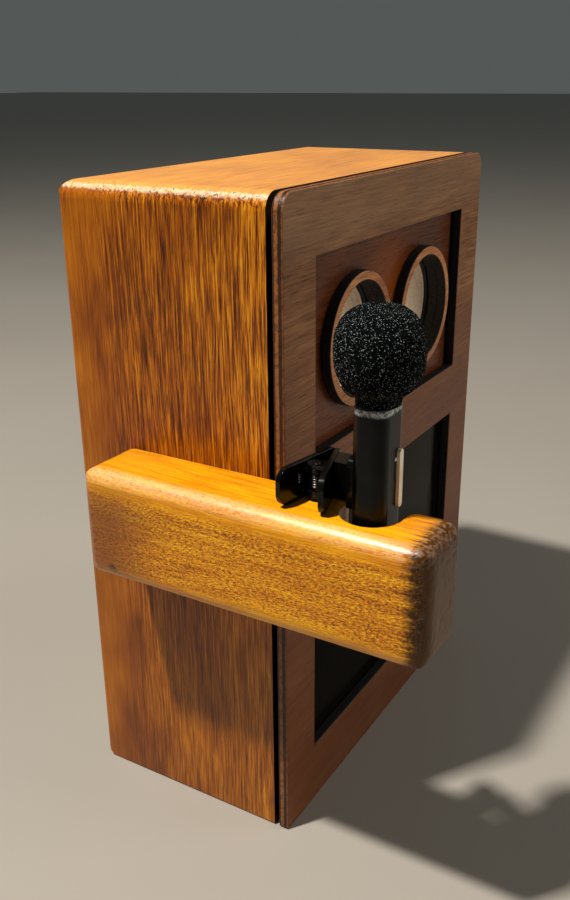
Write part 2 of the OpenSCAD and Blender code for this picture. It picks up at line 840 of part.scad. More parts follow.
// Front lever with its boss and the pad on the microphone's back.
module clip_base() {
    boss_y = mic_y1 + pad_t - 0.5;
    color(black) {
        at_pin(front_angle) {
            lever_plate(-1);
            ears(-1, ear_z, ear_top);
        }
        along_z(clip_z + 0.2, clip_z + clip_h - 0.2) polygon([
            [boss_x0, boss_y], [boss_x1, boss_y],
            [boss_x1, front_lever_y(boss_x1)], [boss_x0, front_lever_y(boss_x0)]
        ]);
        along_y(mic_y1, mic_y1 + pad_t)
            outline([mic_x - 2.5, clip_z], [mic_x + mic_w / 2 - 1.75, clip_z + pad_h], [0, 0, 3, 3]);
    }
}

module clip_lever() {
    color(black) at_pin(rear_angle) {
        lever_plate(1);
        ears(1, ear_z + ear_t + ear_gap, ear_top - ear_t - ear_gap);
    }
}

module clip_pin() {
    color(steel) rod_z(pin_x, pin_y, ear_z - 0.3, ear_top + 0.3, clip_pin_r);
}

// Turns of the torsion spring, wound round the pin between the ears.
module clip_spring() {
    z0 = ear_z + 2 * ear_t + 2 * ear_gap + wire_r;
    z1 = ear_top - 2 * ear_t - 2 * ear_gap - wire_r;
    pitch = (z1 - z0) / (coil_turns - 1);
    color(steel) for (i = [0:coil_turns - 1])
        translate([pin_x, pin_y, z0 + i * pitch]) rotate_extrude()
            translate([ear_r - wire_r - 0.3, 0]) circle(wire_r, $fn = 24);
}

side_panel_left();
side_panel_right();
top_panel();
bottom_panel();
front_batten_left();
front_batten_right();
rear_batten_left();
rear_batten_right();
front_frame();
speaker_baffle();
dark_window();
port_ring_left();
port_ring_right();
speaker_basket_left();
speaker_basket_right();
speaker_magnet_left();
speaker_magnet_right();
speaker_surround_left();
speaker_surround_right();
speaker_cone_left();
speaker_cone_right();
speaker_screws();
back_panel();
back_screws();
rocker_housing();
power_rocker();
charge_socket();
socket_nut();
battery_holder();
battery_cells();
holder_screws();
amplifier_board();
board_standoffs();
board_screws();
terminal_block();
receiver_module();
speaker_lead_left();
speaker_lead_right();
battery_lead();
power_lead();
arm();
arm_screws();
mic_body();
mic_base_cap();
mic_battery();
mic_board();
mic_capsule();
record_key();
status_light();
foam_windscreen();
clip_base();
clip_lever();
clip_pin();
clip_spring();
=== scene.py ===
"""Looks of the tabletop telephone box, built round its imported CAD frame.

Everything is in metres in the frame's own axes: +Z up, the front faces -Y and the arm is on -X.
"""
import math

import bmesh
import bpy
from mathutils import Matrix, Vector, noise


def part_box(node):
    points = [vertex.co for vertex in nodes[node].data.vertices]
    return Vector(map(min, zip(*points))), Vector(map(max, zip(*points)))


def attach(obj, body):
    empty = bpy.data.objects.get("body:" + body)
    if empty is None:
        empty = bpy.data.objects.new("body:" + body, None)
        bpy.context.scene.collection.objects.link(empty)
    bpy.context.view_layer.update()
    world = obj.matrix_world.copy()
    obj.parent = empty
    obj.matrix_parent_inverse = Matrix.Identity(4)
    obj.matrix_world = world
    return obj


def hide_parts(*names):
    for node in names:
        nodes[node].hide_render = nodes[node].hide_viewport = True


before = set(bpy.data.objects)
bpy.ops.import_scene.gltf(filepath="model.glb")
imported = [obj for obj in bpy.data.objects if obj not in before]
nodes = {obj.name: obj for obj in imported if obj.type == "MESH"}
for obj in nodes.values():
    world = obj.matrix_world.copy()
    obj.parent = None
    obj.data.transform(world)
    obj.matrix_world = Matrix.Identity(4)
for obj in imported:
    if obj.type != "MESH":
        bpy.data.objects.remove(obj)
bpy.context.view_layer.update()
MM = 0.001
AXES = {"X": 0, "Y": 1, "Z": 2}


def middle(node):
    """Middle of a CAD node's box."""
    low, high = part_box(node)
    return (low + high) / 2


def front_middle(node):
    """Middle of the front face of a CAD node's box."""
    at = middle(node)
    at.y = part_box(node)[0].y
    return at


# ---------------------------------------------------------------- sizes

cab_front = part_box("side_panel_left")[0].y
cab_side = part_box("side_panel_right")[1].x
cab_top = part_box("top_panel")[1].z
frame_stile = 21 * MM                    # wood left at each side of the frame's windows
frame_corner = 6 * MM                    # radius of the frame's upper corners
frame_foot = 1 * MM                      # radius of its lower corners, which stand on the table
upper_window = (149 * MM, 218 * MM)      # lower and upper edge
lower_window = (26 * MM, 125.5 * MM)
ring_wall = 3.6 * MM                     # from a port ring's bore to its outside
front_ply_pitch = 1.35 * MM              # thickness of each ply in the front's plywood


# ---------------------------------------------------------------- shading helpers

def srgb(red, green, blue):
    """Linear colour for a shader from display values of 0 to 255."""
    def linear(c):
        c /= 255
        return c / 12.92 if c <= 0.04045 else ((c + 0.055) / 1.055) ** 2.4
    return linear(red), linear(green), linear(blue), 1.0


class Shade:
    """One material's node tree, with a short call for each kind of node it uses."""

    def __init__(self, name):
        self.material = bpy.data.materials.new(name)
        self.material.use_nodes = True
        self.tree = self.material.node_tree
        self.shader = self.tree.nodes["Principled BSDF"]
        coords = self.tree.nodes.new("ShaderNodeTexCoord")
        self.place = coords.outputs["Object"]
        self.normal = coords.outputs["Normal"]

    def node(self, kind, **settings):
        """A new node of a kind, with its settings."""
        made = self.tree.nodes.new(kind)
        for key, value in settings.items():
            setattr(made, key, value)
        return made

    def put(self, node, socket, value):
        """Links a socket to another node's output, or sets it to a plain value."""
        if isinstance(value, bpy.types.NodeSocket):
            self.tree.links.new(value, node.inputs[socket])
        else:
            node.inputs[socket].default_value = value

    def math(self, operation, *values):
        made = self.node("ShaderNodeMath", operation=operation)
        for i, value in enumerate(values):
            self.put(made, i, value)
        return made.outputs[0]

    def vector(self, operation, *values):
        made = self.node("ShaderNodeVectorMath", operation=operation)
        for i, value in enumerate(values):
            self.put(made, i, value)
        return made.outputs[0]

    def parts(self, vector):
        """The X, Y and Z of a vector."""
        made = self.node("ShaderNodeSeparateXYZ")
        self.put(made, 0, vector)
        return made.outputs[0], made.outputs[1], made.outputs[2]

    def noise(self, place, scale, detail=2.0, rough=0.5):
        made = self.node("ShaderNodeTexNoise")
        self.put(made, "Vector", place)
        self.put(made, "Scale", scale)
        self.put(made, "Detail", detail)
        self.put(made, "Roughness", rough)
        return made.outputs["Fac"]

    def cells(self, place, scale):
        """Distance from the middle of the nearest of many small cells."""
        made = self.node("ShaderNodeTexVoronoi")
        self.put(made, "Vector", place)
        self.put(made, "Scale", scale)
        return made.outputs["Distance"]

    def dots(self, place, scale, size, share):
        """Small round spots in some of the cells: how wide each is, and how many cells have one."""
        made = self.node("ShaderNodeTexVoronoi")
        self.put(made, "Vector", place)
        self.put(made, "Scale", scale)
        pick = self.node("ShaderNodeSeparateColor")
        self.put(pick, 0, made.outputs["Color"])
        chosen = self.level(pick.outputs[0], 1 - share, 1.0, 0.35, 1.0)
        chosen = self.math("MULTIPLY", chosen, self.math("GREATER_THAN", pick.outputs[0], 1 - share))
        return self.math("MULTIPLY", chosen, self.level(made.outputs["Distance"], size, size * 0.4))

    def level(self, value, low, high, to_low=0.0, to_high=1.0):
        """A value carried from one range to another, and held at its ends."""
        made = self.node("ShaderNodeMapRange", interpolation_type="SMOOTHSTEP")
        for i, number in enumerate((value, low, high, to_low, to_high)):
            self.put(made, i, number)
        return made.outputs[0]

    def ramp(self, factor, *stops):
        """A colour picked from stops, each a position and its colour."""
        made = self.node("ShaderNodeValToRGB")
        self.put(made, 0, factor)
        points = made.color_ramp.elements
        while len(points) < len(stops):
            points.new(0.5)
        for point, (position, colour) in zip(points, stops):
            point.position = position
            point.color = colour
        return made.outputs[0]

    def mix(self, factor, a, b):
        """A colour between a and b."""
        made = self.node("ShaderNodeMix", data_type="RGBA")
        self.put(made, 0, factor)
        self.put(made, 6, a)
        self.put(made, 7, b)
        return made.outputs[2]

    def blended(self, factor, a, b):
        """A number between a and b."""
        made = self.node("ShaderNodeMix", data_type="FLOAT")
        self.put(made, 0, factor)
        self.put(made, 2, a)
        self.put(made, 3, b)
        return made.outputs[0]

    def length(self, vector):
        made = self.node("ShaderNodeVectorMath", operation="LENGTH")
        self.put(made, 0, vector)
        return made.outputs["Value"]

    def stretched(self, along, factor, place=None):
        """Coordinates drawn out along one axis, so that noise in them makes fibres."""
        scale = [1.0, 1.0, 1.0]
        scale[AXES[along]] = factor
        return self.vector("MULTIPLY", place or self.place, scale)

    def bump(self, height, depth):
        """Fine relief, as deep as the depth where the height is 1."""
        made = self.node("ShaderNodeBump")
        self.put(made, "Distance", depth)
        self.put(made, "Height", height)
        self.tree.links.new(made.outputs[0], self.shader.inputs["Normal"])

    def finish(self, **sockets):
        """Sets or links the shader's sockets, written with _ for a space, and gives the material."""
        for key, value in sockets.items():
            self.put(self.shader, key.replace("_", " "), value)
        return self.material


# ---------------------------------------------------------------- woods

class Grain:
    """Fibres, pores and stain clouds of one piece of wood, drawn out along one axis."""

    def __init__(self, s, along, wave=4 * MM, seed=0.0):
        moved = s.vector("ADD", s.place, (seed, seed * 0.7, seed * 1.3))
        drift = s.math("SUBTRACT", s.noise(s.stretched(along, 0.3, moved), 30, 2), 0.5)
        push = s.node("ShaderNodeCombineXYZ")
        for i in range(3):
            s.put(push, i, s.math("MULTIPLY", drift, wave))
        bent = s.vector("ADD", moved, push.outputs[0])
        self.streaks = s.noise(s.stretched(along, 0.05, bent), 620, 4, 0.66)
        self.fibre = s.noise(s.stretched(along, 0.028, bent), 1900, 3, 0.6)
        self.dashes = s.noise(s.stretched(along, 0.05, bent), 2100, 2, 0.55)
        self.clouds = s.noise(s.stretched(along, 0.45, moved), 34, 3, 0.55)
        self.specks = s.noise(moved, 700, 2, 0.5)

    def tone(self, s, streaks, fibre, clouds):
        """Light and dark of the bare wood, about 0 to 1."""
        total = s.math("MULTIPLY", self.streaks, streaks)
        total = s.math("MULTIPLY_ADD", self.fibre, fibre, total)
        total = s.math("MULTIPLY_ADD", self.clouds, clouds, total)
        return s.math("SUBTRACT", total, (streaks + fibre + clouds - 1) / 2)


def layers(s, axis, pitch):
    """Light and dark plies of a sheet that is built up along one axis."""
    step = s.math("MULTIPLY", s.parts(s.place)[AXES[axis]], math.pi / pitch)
    ragged = s.math("MULTIPLY", s.noise(s.place, 400, 3), 1.2)
    return s.level(s.math("SINE", s.math("ADD", step, ragged)), -0.35, 0.35)


def facing(s, axis):
    """1 on faces that look along an axis, 0 on those that don't."""
    return s.level(s.math("ABSOLUTE", s.parts(s.normal)[AXES[axis]]), 0.55, 0.8)


AMBER = [(0.28, srgb(66, 27, 2)), (0.42, srgb(114, 54, 3)), (0.52, srgb(146, 76, 4)),
         (0.66, srgb(184, 108, 8)), (0.80, srgb(214, 142, 22))]


def cabinet_wood():
    """Amber-stained varnished cabinet: upright grain on the sides, grain along X on top."""
    s = Shade("cabinet_wood")
    upright = Grain(s, "Z")
    across = Grain(s, "X", seed=0.37)
    level_face = facing(s, "Z")
    x, y, z = s.parts(s.place)
    # The side's grain is strongest near the front, and calmer at the rear and low down.
    front = s.level(y, cab_front + 34 * MM, cab_front)
    rear = s.level(y, cab_front + 52 * MM, cab_front + 74 * MM)
    lines = s.math("MULTIPLY_ADD", upright.fibre, 0.85, s.math("MULTIPLY", upright.streaks, 0.45))
    strength = s.blended(rear, s.math("MULTIPLY_ADD", front, 0.5, 1.45), 0.4)
    lines = s.math("MULTIPLY", s.math("SUBTRACT", lines, 0.65), strength)
    calm = s.level(z, 60 * MM, 130 * MM, 0.6, 1.0)
    lines = s.math("MULTIPLY", lines, calm)
    tone = s.math("MULTIPLY_ADD", upright.clouds, 0.6, s.math("ADD", lines, 0.2))
    tone = s.math("ADD", tone, s.math("MULTIPLY_ADD", front, 0.14, s.math("MULTIPLY", rear, 0.01)))
    side = s.ramp(tone, *AMBER)
    top_tone = s.math("ADD", across.tone(s, 0.5, 0.6, 0.5), 0.16)
    top = s.ramp(top_tone, *AMBER)
    colour = s.mix(level_face, side, s.mix(0.35, top, srgb(240, 176, 110)))
    pores = s.blended(level_face, s.level(upright.dashes, 0.57, 0.68),
                      s.level(across.dashes, 0.66, 0.78))
    pores = s.math("MULTIPLY", pores, s.math("MULTIPLY", calm, s.blended(rear, 1.0, 0.35)))
    colour = s.mix(s.math("MULTIPLY", pores, 0.7), colour, srgb(60, 24, 5))
    # The long top edges are painted pale along their rounding, a painted highlight that is partly
    # wear, with small dark nicks.
    slant = s.math("ADD", z, s.math("ABSOLUTE", x))
    rub_and_highlight = s.math("MULTIPLY_ADD", upright.specks, 1.0 * MM, s.math("SUBTRACT", slant, 0.5 * MM))
    sharp_corner = cab_top + cab_side
    rub_and_highlight = s.level(rub_and_highlight, sharp_corner - 3.80 * MM, sharp_corner - 3.45 * MM)
    colour = s.mix(s.math("MULTIPLY", rub_and_highlight, 0.7), colour, srgb(244, 208, 170))
    nicks = s.math("MULTIPLY", rub_and_highlight, s.level(upright.specks, 0.60, 0.66))
    colour = s.mix(s.math("MULTIPLY", nicks, 0.85), colour, srgb(70, 34, 16))
    # The front ends of the walls are painted near-black, as painted shade in the gap behind the
    # frame.
    ends = s.math("MULTIPLY", facing(s, "Y"), s.level(y, cab_front + 2 * MM, cab_front + 1 * MM))
    colour = s.mix(ends, colour, srgb(9, 6, 5))
    height = s.math("MULTIPLY_ADD", pores, -1.0, s.math("MULTIPLY", upright.fibre, 0.5))
    s.bump(height, 0.10 * MM)
    rough = s.math("MULTIPLY_ADD", upright.clouds, 0.22, 0.22)
    coat = s.math("MULTIPLY_ADD", rub_and_highlight, 0.85, 0.15)
    return s.finish(Base_Color=colour, Roughness=rough, Coat_Weight=coat, Coat_Roughness=0.26,
                    Specular_IOR_Level=0.25)


def arm_wood():
    """Golden, hand-sanded arm: crackled outer face, dark end grain in front, brown rear end."""
    s = Shade("arm_wood")
    grain = Grain(s, "Y", wave=7 * MM, seed=0.11)
    x, y, z = s.parts(s.place)
    low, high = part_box("arm")
    tilt = s.node("ShaderNodeMapping")
    s.put(tilt, "Vector", s.place)
    s.put(tilt, "Rotation", (math.radians(7), 0, 0))
    flecks = s.noise(s.stretched("Y", 0.42, tilt.outputs[0]), 1900, 2, 0.55)
    # The outer face is crackled along its middle.
    crackle = s.noise(s.stretched("Y", 0.40, tilt.outputs[0]), 1700, 4, 0.7)
    outer = s.math("MULTIPLY", facing(s, "X"), s.level(x, low.x + 4 * MM, low.x + 1 * MM))
    tone = grain.tone(s, 0.42, 0.20, 0.40)
    colour = s.ramp(tone, (0.26, srgb(128, 62, 0)), (0.42, srgb(198, 116, 2)),
                    (0.55, srgb(232, 156, 4)), (0.72, srgb(250, 190, 12)))
    middle_band = s.math("MULTIPLY", s.level(z, high.z - 5 * MM, high.z - 10 * MM),
                         s.level(z, low.z + 3 * MM, low.z + 8 * MM))
    outer = s.math("MULTIPLY", outer, middle_band)
    ridges = s.math("MULTIPLY_ADD", grain.streaks, 0.4, s.math("MULTIPLY", crackle, 0.9))
    worn = s.ramp(ridges, (0.51, srgb(88, 40, 0)), (0.575, srgb(178, 98, 0)),
                  (0.67, srgb(216, 134, 2)), (0.78, srgb(248, 184, 24)))
    colour = s.mix(s.math("MULTIPLY", outer, 0.9), colour, worn)
    pores = s.math("MULTIPLY", s.level(flecks, 0.58, 0.68), s.blended(outer, 0.12, 0.8))
    colour = s.mix(pores, colour, srgb(62, 26, 6))
    # Rear end and rear lower corner: browner, with a small dark knot.
    ragged = s.math("MULTIPLY_ADD", grain.clouds, 26 * MM, y)
    brown = s.level(ragged, high.y - 24 * MM, high.y + 2 * MM)
    brown = s.math("MULTIPLY", brown, s.level(z, high.z - 4 * MM, high.z - 16 * MM, 0.35, 1.0))
    colour = s.mix(s.math("MULTIPLY", brown, 0.8), colour, srgb(122, 62, 26))
    knot = s.vector("SUBTRACT", s.place, (low.x, 8 * MM, 111 * MM))
    spot = s.level(s.length(knot), 2.6 * MM, 0.9 * MM)
    colour = s.mix(s.math("MULTIPLY", spot, 0.8), colour, srgb(52, 26, 14))
    # Front end: dark end grain, burnt along its outer corner, and pale at the top, where scuffs
    # carry a painted sheen.
    wander = s.math("MULTIPLY_ADD", grain.streaks, 9 * MM, s.math("MULTIPLY", grain.specks, 3 * MM))
    reach = s.math("ADD", y, s.math("SUBTRACT", wander, 6 * MM))
    burnt = s.level(reach, low.y + 9.5 * MM, low.y + 3.5 * MM)
    char = s.ramp(grain.clouds, (0.35, srgb(22, 10, 3)), (0.52, srgb(42, 22, 9)),
                  (0.66, srgb(84, 43, 15)))
    char = s.mix(s.level(grain.specks, 0.62, 0.72, 0, 0.5), char, srgb(34, 18, 10))
    colour = s.mix(s.math("MULTIPLY", burnt, 0.92), colour, char)
    scuff_and_sheen = s.math("MULTIPLY", s.level(reach, low.y + 16 * MM, low.y + 6 * MM),
                   s.level(z, high.z - 8 * MM, high.z - 2 * MM))
    scuff_and_sheen = s.math("MULTIPLY", scuff_and_sheen, s.level(grain.specks, 0.44, 0.62))
    colour = s.mix(s.math("MULTIPLY", scuff_and_sheen, 0.45), colour, srgb(140, 110, 90))
    # Lower outer edge: a pale line painted along it, a painted highlight that is partly sanded wear.
    sanded = s.math("MULTIPLY", s.level(z, low.z + 5.5 * MM, low.z + 2.5 * MM),
                    s.level(x, low.x + 6 * MM, low.x + 2 * MM))
    sanded = s.math("MULTIPLY", sanded, s.level(burnt, 0.6, 0.1))
    colour = s.mix(s.math("MULTIPLY", sanded, 0.45), colour, srgb(236, 168, 84))
    # Upper outer edge: thickly varnished, so it takes the light, and painted pale along it, a
    # painted highlight that is partly sanded wear.
    shoulder = s.math("MULTIPLY", s.level(z, high.z - 5.5 * MM, high.z - 2.6 * MM),
                      s.level(x, low.x + 6.0 * MM, low.x + 3.4 * MM))
    shoulder = s.math("MULTIPLY", shoulder, s.level(burnt, 0.5, 0.1))
    edge_rub_and_highlight = s.math("MULTIPLY", shoulder, s.level(crackle, 0.36, 0.56))
    colour = s.mix(s.math("MULTIPLY", edge_rub_and_highlight, 0.3), colour, srgb(250, 214, 168))
    height = s.math("MULTIPLY", grain.fibre, 0.4)
    height = s.math("MULTIPLY_ADD", pores, -1.2, height)
    height = s.math("MULTIPLY_ADD", s.math("MULTIPLY", crackle, outer), 0.9, height)
    s.bump(height, 0.4 * MM)
    rough = s.math("MULTIPLY_ADD", scuff_and_sheen, 0.25, s.math("MULTIPLY_ADD", grain.clouds, 0.2, 0.2))
    coat = s.math("MULTIPLY", s.blended(shoulder, 0.25, 1.0), s.level(burnt, 0.8, 0.2))
    return s.finish(Base_Color=colour, Roughness=rough, Coat_Weight=coat, Coat_Roughness=0.36,
                    Specular_IOR_Level=0.2)


WALNUT = [(0.26, srgb(52, 27, 11)), (0.42, srgb(100, 60, 30)), (0.54, srgb(130, 84, 47)),
          (0.68, srgb(158, 110, 68)), (0.82, srgb(184, 134, 90))]
MAHOGANY = [(0.26, srgb(30, 12, 3)), (0.42, srgb(66, 29, 9)), (0.54, srgb(88, 42, 14)),
            (0.68, srgb(112, 58, 22)), (0.82, srgb(140, 78, 32))]
CHESTNUT = [(0.26, srgb(120, 66, 30)), (0.42, srgb(166, 104, 56)), (0.54, srgb(196, 132, 80)),
            (0.68, srgb(220, 160, 104)), (0.82, srgb(238, 188, 132))]


def front_ply(name, palette, gloss=0.3, patch=None, shade_from=None):
    """Stained plywood of the front, its grain along X and its plies along Y.

    A patch is a spot of warmer colour, and past shade_from in X the sheet is painted black as
    painted shade.
    """
    s = Shade(name)
    grain = Grain(s, "X", wave=3 * MM, seed=0.61)
    colour = s.ramp(grain.tone(s, 0.32, 0.5, 0.5), *palette)
    dashes = s.level(grain.dashes, 0.60, 0.70)
    colour = s.mix(s.math("MULTIPLY", dashes, 0.5), colour, srgb(34, 16, 8))
    z = s.parts(s.place)[2]
    # Redder downwards, with a greyish painted sheen along the top.
    colour = s.mix(s.level(z, 222 * MM, 110 * MM, 0, 0.66), colour, srgb(100, 46, 12))
    colour = s.mix(s.level(z, 212 * MM, 228 * MM, 0, 0.3), colour, srgb(164, 134, 104))
    if patch:
        away = s.length(s.vector("SUBTRACT", s.place, patch))
        colour = s.mix(s.level(away, 34 * MM, 4 * MM, 0, 0.7), colour, srgb(146, 72, 16))
        # Painted shade: past shade_from in X the sheet turns near-black.
        shaded = s.level(s.parts(s.place)[0], shade_from, shade_from + 2 * MM)
        colour = s.mix(shaded, colour, srgb(9, 5, 3))
    face = facing(s, "Y")
    plies = s.mix(layers(s, "Y", front_ply_pitch), srgb(56, 29, 12), srgb(140, 86, 44))
    plies = s.mix(s.level(grain.specks, 0.45, 0.62, 0, 0.5), plies, srgb(30, 16, 10))
    colour = s.mix(face, plies, colour)
    s.bump(s.math("MULTIPLY_ADD", dashes, -0.8, grain.fibre), 0.12 * MM)
    rough = s.math("MULTIPLY_ADD", grain.clouds, 0.25, gloss)
    return s.finish(Base_Color=colour, Roughness=rough, Coat_Weight=0.05, Coat_Roughness=0.3,
                    Specular_IOR_Level=0.25)


def charred():
    """Laser-cut walls: black char with faint lines from ply to ply."""
    s = Shade("charred")
    grit = s.noise(s.place, 900, 3, 0.6)
    colour = s.mix(layers(s, "Y", front_ply_pitch), srgb(5, 4, 3), srgb(11, 7, 5))
    colour = s.mix(s.level(grit, 0.55, 0.7, 0, 0.6), colour, srgb(18, 11, 7))
    s.bump(grit, 0.1 * MM)
    return s.finish(Base_Color=colour, Roughness=s.level(grit, 0.3, 0.7, 0.5, 0.8))


def raw_ply(name, axis):
    """Bare birch plywood of the inner battens and the rear panel."""
    s = Shade(name)
    grain = Grain(s, "Z", wave=6 * MM, seed=0.83)
    colour = s.ramp(grain.tone(s, 0.4, 0.2, 0.4), (0.3, srgb(146, 104, 62)),
                    (0.5, srgb(182, 140, 92)), (0.7, srgb(206, 168, 120)))
    colour = s.mix(s.level(grain.dashes, 0.62, 0.72, 0, 0.4), colour, srgb(110, 70, 38))
    plies = s.mix(layers(s, axis, 1.3 * MM), srgb(150, 104, 62), srgb(200, 162, 112))
    colour = s.mix(facing(s, axis), plies, colour)
    s.bump(grain.fibre, 0.12 * MM)
    return s.finish(Base_Color=colour, Roughness=s.level(grain.fibre, 0.3, 0.7, 0.45, 0.65))


# ---------------------------------------------------------------- plastics, metals, paper

def plastic(name, colour, rough, depth=0.02, marks=0.12, shine=0.5, rim=None):
    """Moulded plastic: a fine skin, faint handling marks, and gloss that varies with them.

    The depth is in millimetres, and a rim is the height of a top edge that gets a pale band, a
    painted highlight that is partly scuffed wear.
    """
    s = Shade(name)
    skin = s.noise(s.place, 1800, 3, 0.6)
    wear = s.noise(s.place, 120, 4, 0.6)
    lighter = tuple(min(1, c * 1.5 + 0.004) for c in colour[:3]) + (1.0,)
    tint = s.mix(s.level(wear, 0.4, 0.75, 0, 0.5), colour, lighter)
    if rim:
        # The top edge gets a pale band: a painted highlight of the rounded edge, partly scuffed bare
        # by the part that is pulled off and pushed on.
        worn = s.level(s.parts(s.place)[2], rim - 2.2 * MM, rim - 1.2 * MM)
        worn = s.math("MULTIPLY", worn, s.level(s.noise(s.place, 900, 3, 0.7), 0.36, 0.6, 0.1, 1))
        tint = s.mix(worn, tint, srgb(176, 178, 176))
    s.bump(skin, depth * MM)
    gloss = s.math("MULTIPLY_ADD", wear, marks, rough - marks / 2)
    return s.finish(Base_Color=tint, Roughness=gloss, Specular_IOR_Level=shine)


def metal(name, colour, rough):
    """Plated or bare steel with a fine grain and faint stains."""
    s = Shade(name)
    grit = s.noise(s.place, 1600, 3, 0.6)
    stain = s.noise(s.place, 160, 3, 0.5)
    darker = tuple(c * 0.7 for c in colour[:3]) + (1.0,)
    tint = s.mix(s.level(stain, 0.4, 0.7, 0, 0.6), colour, darker)
    s.bump(grit, 0.02 * MM)
    gloss = s.math("MULTIPLY_ADD", grit, 0.2, rough - 0.1)
    return s.finish(Base_Color=tint, Roughness=gloss, Metallic=1.0)


def speaker_paper():
    """Pressed paper pulp, cream and fibrous."""
    s = Shade("speaker_paper")
    pulp = s.noise(s.place, 1300, 4, 0.7)
    colour = s.ramp(pulp, (0.3, srgb(230, 198, 166)), (0.5, srgb(250, 224, 196)),
                    (0.7, srgb(255, 242, 222)))
    s.bump(pulp, 0.08 * MM)
    return s.finish(Base_Color=colour, Roughness=s.level(pulp, 0.3, 0.7, 0.7, 0.9))


def smoked_acrylic():
    """Near-black glossy sheet with a warm cast and faint dust."""
    s = Shade("smoked_acrylic")
    dust = s.noise(s.place, 2600, 2, 0.5)
    haze = s.noise(s.place, 40, 3, 0.5)
    colour = s.mix(haze, srgb(7, 5, 3), srgb(14, 10, 6))
    colour = s.mix(s.level(dust, 0.70, 0.78, 0, 0.3), colour, srgb(90, 84, 76))
    return s.finish(Base_Color=colour, Roughness=s.level(haze, 0.3, 0.7, 0.1, 0.24),
                    Specular_IOR_Level=0.04)


def foam_skin():
    """Open-cell black foam: matt pits, and painted glints, pale dots where the glossy cell walls
    catch the light.
    """
    s = Shade("foam_skin")
    grit = s.noise(s.place, 2400, 3, 0.7)
    painted_glints = s.math("MAXIMUM", s.dots(s.place, 1700, 0.28, 0.42), s.dots(s.place, 2600, 0.34, 0.4))
    colour = s.mix(s.level(grit, 0.4, 0.65), srgb(1, 2, 2), srgb(8, 11, 12))
    # Painted glints: the dots are given a pale colour, standing in for light caught by the cell
    # walls.
    colour = s.mix(painted_glints, colour, srgb(204, 216, 214))
    s.bump(s.math("MULTIPLY_ADD", painted_glints, 0.8, grit), 0.3 * MM)
    return s.finish(Base_Color=colour, Roughness=s.level(painted_glints, 0, 1, 0.85, 0.4),
                    Specular_IOR_Level=0.04)


def mesh_metal():
    """Pierced cover of the microphone capsule."""
    s = Shade("capsule_mesh")
    bars = s.level(s.cells(s.place, 1700), 0.25, 0.4)
    colour = s.mix(bars, srgb(8, 8, 9), srgb(120, 122, 126))
    s.bump(bars, 0.1 * MM)
    return s.finish(Base_Color=colour, Roughness=0.35, Metallic=0.8)


def circuit_board():
    """Green solder mask with the faint lines of the tracks below it."""
    s = Shade("circuit_board")
    brick = s.node("ShaderNodeTexBrick")
    s.put(brick, "Vector", s.place)
    s.put(brick, "Scale", 260.0)
    s.put(brick, "Color1", srgb(16, 84, 44))
    s.put(brick, "Color2", srgb(22, 100, 54))
    s.put(brick, "Mortar", srgb(10, 58, 32))
    s.bump(brick.outputs["Fac"], 0.05 * MM)
    gloss = s.noise(s.place, 300, 2)
    return s.finish(Base_Color=brick.outputs["Color"], Roughness=s.level(gloss, 0, 1, 0.2, 0.45))


def clear_lens():
    """Milky clear plastic of the status light."""
    s = Shade("clear_lens")
    cast = s.noise(s.place, 1500, 2)
    colour = s.mix(cast, srgb(200, 214, 220), srgb(236, 242, 245))
    return s.finish(Base_Color=colour, Roughness=s.level(cast, 0, 1, 0.05, 0.2),
                    Transmission_Weight=0.3)


# ---------------------------------------------------------------- mesh helpers

def finished(mesh, name, materials, body, replaces, sharp=32):
    """Makes a piece from a mesh or bmesh: smooth but for edges sharper than an angle."""
    if isinstance(mesh, bmesh.types.BMesh):
        bm = mesh
        mesh = bpy.data.meshes.new(name)
        bmesh.ops.recalc_face_normals(bm, faces=bm.faces)
        bm.to_mesh(mesh)
        bm.free()
    mesh.name = name
    mesh.materials.clear()
    for material in materials:
        mesh.materials.append(material)
    bm = bmesh.new()
    bm.from_mesh(mesh)
    for face in bm.faces:
        face.smooth = True
    for edge in bm.edges:
        edge.smooth = len(edge.link_faces) == 2 and edge.calc_face_angle(0) < math.radians(sharp)
    bm.to_mesh(mesh)
    bm.free()
    piece = bpy.data.objects.new(name, mesh)
    bpy.context.scene.collection.objects.link(piece)
    even = piece.modifiers.new("even_normals", "WEIGHTED_NORMAL")
    even.keep_sharp = True
    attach(piece, body)
    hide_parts(*replaces)
    return piece


def turned(bm, profile, at, axis="Y", steps=96, closed=True):
    """Turns a profile of (radius, distance) points about an axis through a point."""
    rings = []
    for radius, distance in profile:
        ring = []
        for k in range(1 if radius < 1e-7 else steps):
            a = 2 * math.pi * k / steps
            u, v = radius * math.cos(a), radius * math.sin(a)
            spot = {"X": (distance, u, v), "Y": (u, distance, v), "Z": (u, v, distance)}[axis]
            ring.append(bm.verts.new(Vector(spot) + at))
        rings.append(ring)
    for a, b in zip(rings, rings[1:] + rings[:1] if closed else rings[1:]):
        for k in range(steps):
            corners = (a[k % len(a)], a[(k + 1) % len(a)], b[(k + 1) % len(b)], b[k % len(b)])
            corners = list(dict.fromkeys(corners))
            if len(corners) > 2:
                bm.faces.new(corners)
    return bm


def rounded(points, radius, steps=4):
    """A closed outline of 2D points with each corner eased by a short curve."""
    out = []
    for i, b in enumerate(points):
        a, c = Vector(points[i - 1]), Vector(points[(i + 1) % len(points)])
        b = Vector(b)
        # Just under half of a side is the most that the curve at its end can take.
        ease = min(radius, (a - b).length / 2.01, (c - b).length / 2.01)
        p, q = b + (a - b).normalized() * ease, b + (c - b).normalized() * ease
        for k in range(steps + 1):
            t = k / steps
            out.append(tuple(p * (1 - t) ** 2 + 2 * b * t * (1 - t) + q * t ** 2))
    return out


